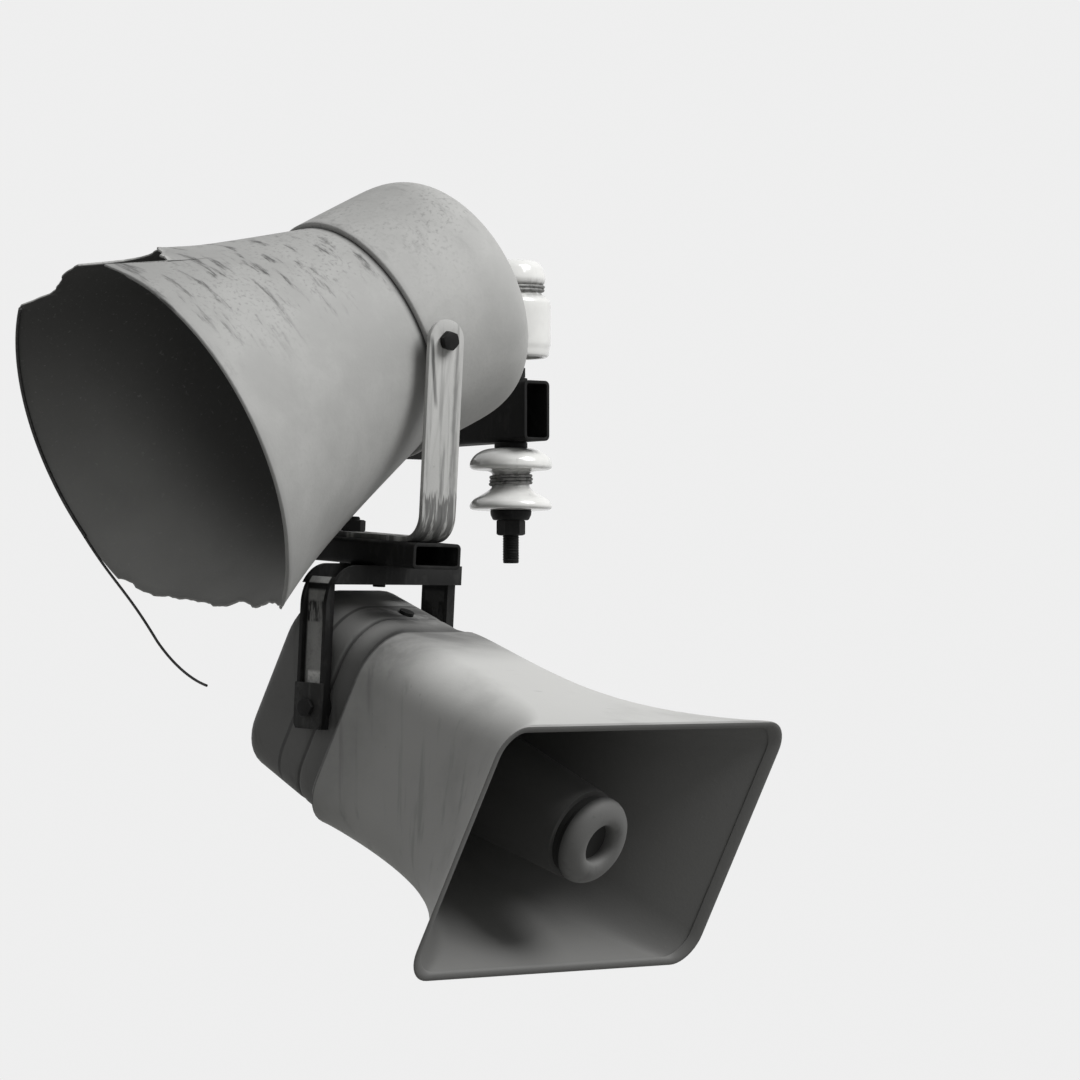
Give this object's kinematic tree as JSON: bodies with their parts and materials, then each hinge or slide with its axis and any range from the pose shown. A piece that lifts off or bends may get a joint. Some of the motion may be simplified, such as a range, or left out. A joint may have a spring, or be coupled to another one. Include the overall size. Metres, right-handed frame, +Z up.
{
  "type": "wall-mounted warning loudspeaker pair",
  "caption": "Round bell horn and rectangular horn loudspeaker, each in a tilting yoke, on steel wall arms with porcelain line insulators.",
  "frame": {"origin": "on the wall face of the bracket, where the centre line of the lower arm meets it", "axes": "+X along the wall to the right, -Y out to the street, +Z up"},
  "size_m": [0.5998, 0.6718, 0.7461],
  "materials": {
    "dark_steel": "weathered dark paint",
    "galvanised_strap": "pale weathered paint with rust streaks",
    "bell_paint": "light grey paint with dirt streaks",
    "horn_plastic": "weathered grey",
    "porcelain": "white glaze, dirty",
    "tie_wire": "dull wire"
  },
  "bodies": {
    "bracket": {"wall_rail": "dark_steel", "wall_plate": "dark_steel", "lower_arm": "dark_steel", "upper_arm": "dark_steel", "insulator_pin": "dark_steel", "pin_top_nut": "dark_steel", "pin_collar": "dark_steel", "bell_insulator": "porcelain", "bell_tie_wire": "tie_wire", "spool_insulator": "porcelain", "spool_tie_wire": "tie_wire", "spool_washer": "dark_steel", "spool_nut": "dark_steel", "upper_clamp_bolt": "dark_steel", "lower_clamp_bolt": "dark_steel"},
    "upper_yoke_body": {"upper_yoke": "galvanised_strap"},
    "upper_horn": {"upper_bell": "bell_paint", "upper_near_rim": "bell_paint", "upper_far_rim_wire": "bell_paint", "upper_rear_cover": "bell_paint", "upper_driver": "dark_steel", "upper_near_pivot": "dark_steel", "upper_far_pivot": "dark_steel"},
    "lower_yoke_body": {"lower_yoke": "dark_steel", "lower_near_end_plate": "dark_steel", "lower_far_end_plate": "dark_steel"},
    "lower_horn": {"lower_flare": "horn_plastic", "lower_back_wall": "horn_plastic", "lower_centre_tube": "horn_plastic", "lower_ring_lip": "horn_plastic", "lower_middle_band": "horn_plastic", "lower_rear_cap": "horn_plastic", "lower_plug": "dark_steel", "lower_near_pivot": "dark_steel", "lower_far_pivot": "dark_steel"}
  },
  "joints": [
    {"name": "upper_swivel", "type": "hinge", "parent": "bracket", "child": "upper_yoke_body", "pos_m": [0, -0.27011, -0.00922], "axis": [0, -0.0785, 0.9969], "range_deg": [-15, 0]},
    {"name": "upper_tilt", "type": "hinge", "parent": "upper_yoke_body", "child": "upper_horn", "pos_m": [0, -0.28486, 0.1782], "axis": [0, 0.9969, 0.0785], "range_deg": [0, 30]},
    {"name": "lower_swivel", "type": "hinge", "parent": "bracket", "child": "lower_yoke_body", "pos_m": [0, -0.31408, -0.03676], "axis": [0, -0.0785, 0.9969], "range_deg": [-30, 20]},
    {"name": "lower_tilt", "type": "hinge", "parent": "lower_yoke_body", "child": "lower_horn", "pos_m": [0, -0.30365, -0.16935], "axis": [0.9703, 0.2412, 0.019], "range_deg": [-30, 30]}
  ]
}
